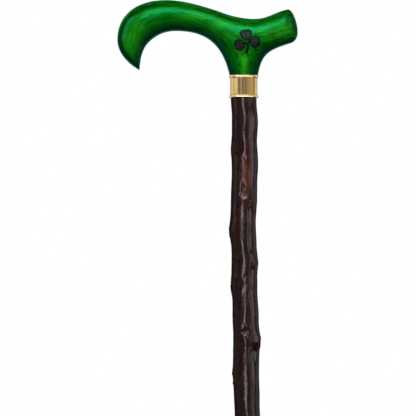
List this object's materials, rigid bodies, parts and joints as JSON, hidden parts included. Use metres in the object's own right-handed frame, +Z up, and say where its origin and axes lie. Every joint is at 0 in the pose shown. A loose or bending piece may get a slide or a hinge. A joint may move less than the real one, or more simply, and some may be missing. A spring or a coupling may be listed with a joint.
{
  "type": "derby-handle walking stick",
  "caption": "Walking stick with a carved derby hook handle, an inlaid shamrock, a beaded metal collar, a knobbly natural wood shaft and a rubber ferrule that pulls off.",
  "frame": {"origin": "centre of the ferrule's ground face", "axes": "+Z up the shaft towards the handle, +X towards the handle's tail, -Y towards the front that carries the shamrock"},
  "size_m": [0.1335, 0.034, 0.914],
  "materials": {
    "green_stained_wood": "green-stained hardwood under gloss lacquer",
    "black_fill": "black fill in an engraving, satin",
    "polished_brass": "polished",
    "plated_steel": "zinc plated",
    "blackthorn": "dark red-brown bark under gloss lacquer",
    "ferrule_rubber": "matte"
  },
  "bodies": {
    "stick": {"handle": "green_stained_wood", "shamrock_top_leaf": "black_fill", "shamrock_left_leaf": "black_fill", "shamrock_right_leaf": "black_fill", "shamrock_stem": "black_fill", "collar": "polished_brass", "joining_stud": "plated_steel", "shaft": "blackthorn"},
    "tip": {"ferrule": "ferrule_rubber", "ferrule_washer": "plated_steel"}
  },
  "joints": [
    {"name": "ferrule_pull", "type": "slide", "parent": "tip", "child": "stick", "axis": [0, 0, 1], "range_m": [0, 0.04]}
  ]
}
